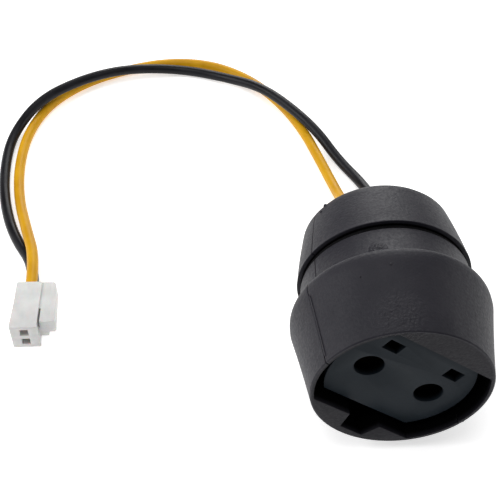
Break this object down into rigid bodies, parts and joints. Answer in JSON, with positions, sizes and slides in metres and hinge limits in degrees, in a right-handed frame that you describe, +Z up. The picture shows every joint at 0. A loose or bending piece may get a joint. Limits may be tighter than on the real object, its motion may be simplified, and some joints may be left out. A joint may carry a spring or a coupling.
{
  "type": "keyed socket pigtail",
  "caption": "Round keyed socket in a split black housing, with a pair of leads ending in a small white crimp connector.",
  "frame": {"origin": "under the middle of the housing, on the surface that it lies on", "axes": "+Z up; the housing's axis runs along Y, with the socket face looking along -Y and the leads leaving along +Y"},
  "size_m": [0.0759, 0.091, 0.0277],
  "materials": {
    "housing": "satin, faintly grained",
    "ring": "matte",
    "insert": "satin",
    "contact": "turned",
    "wire": "tinned strands",
    "joint_sleeve": "shrunk tube",
    "grommet": "matte",
    "yellow_lead": "glossy insulation",
    "black_lead": "glossy insulation",
    "plug": "natural nylon",
    "terminal": "tin plated"
  },
  "bodies": {
    "root": {"upper_shell": "housing", "lower_shell": "housing", "clamp_ring": "ring", "socket_insert": "insert", "contact_retainer": "insert", "yellow_contact": "contact", "black_contact": "contact", "yellow_wire_end": "wire", "black_wire_end": "wire", "yellow_joint_sleeve": "joint_sleeve", "black_joint_sleeve": "joint_sleeve", "yellow_inner_lead": "yellow_lead", "black_inner_lead": "black_lead", "lead_grommet": "grommet", "yellow_lead": "yellow_lead", "black_lead": "black_lead", "plug_housing": "plug", "yellow_terminal": "terminal", "black_terminal": "terminal"}
  },
  "joints": []
}
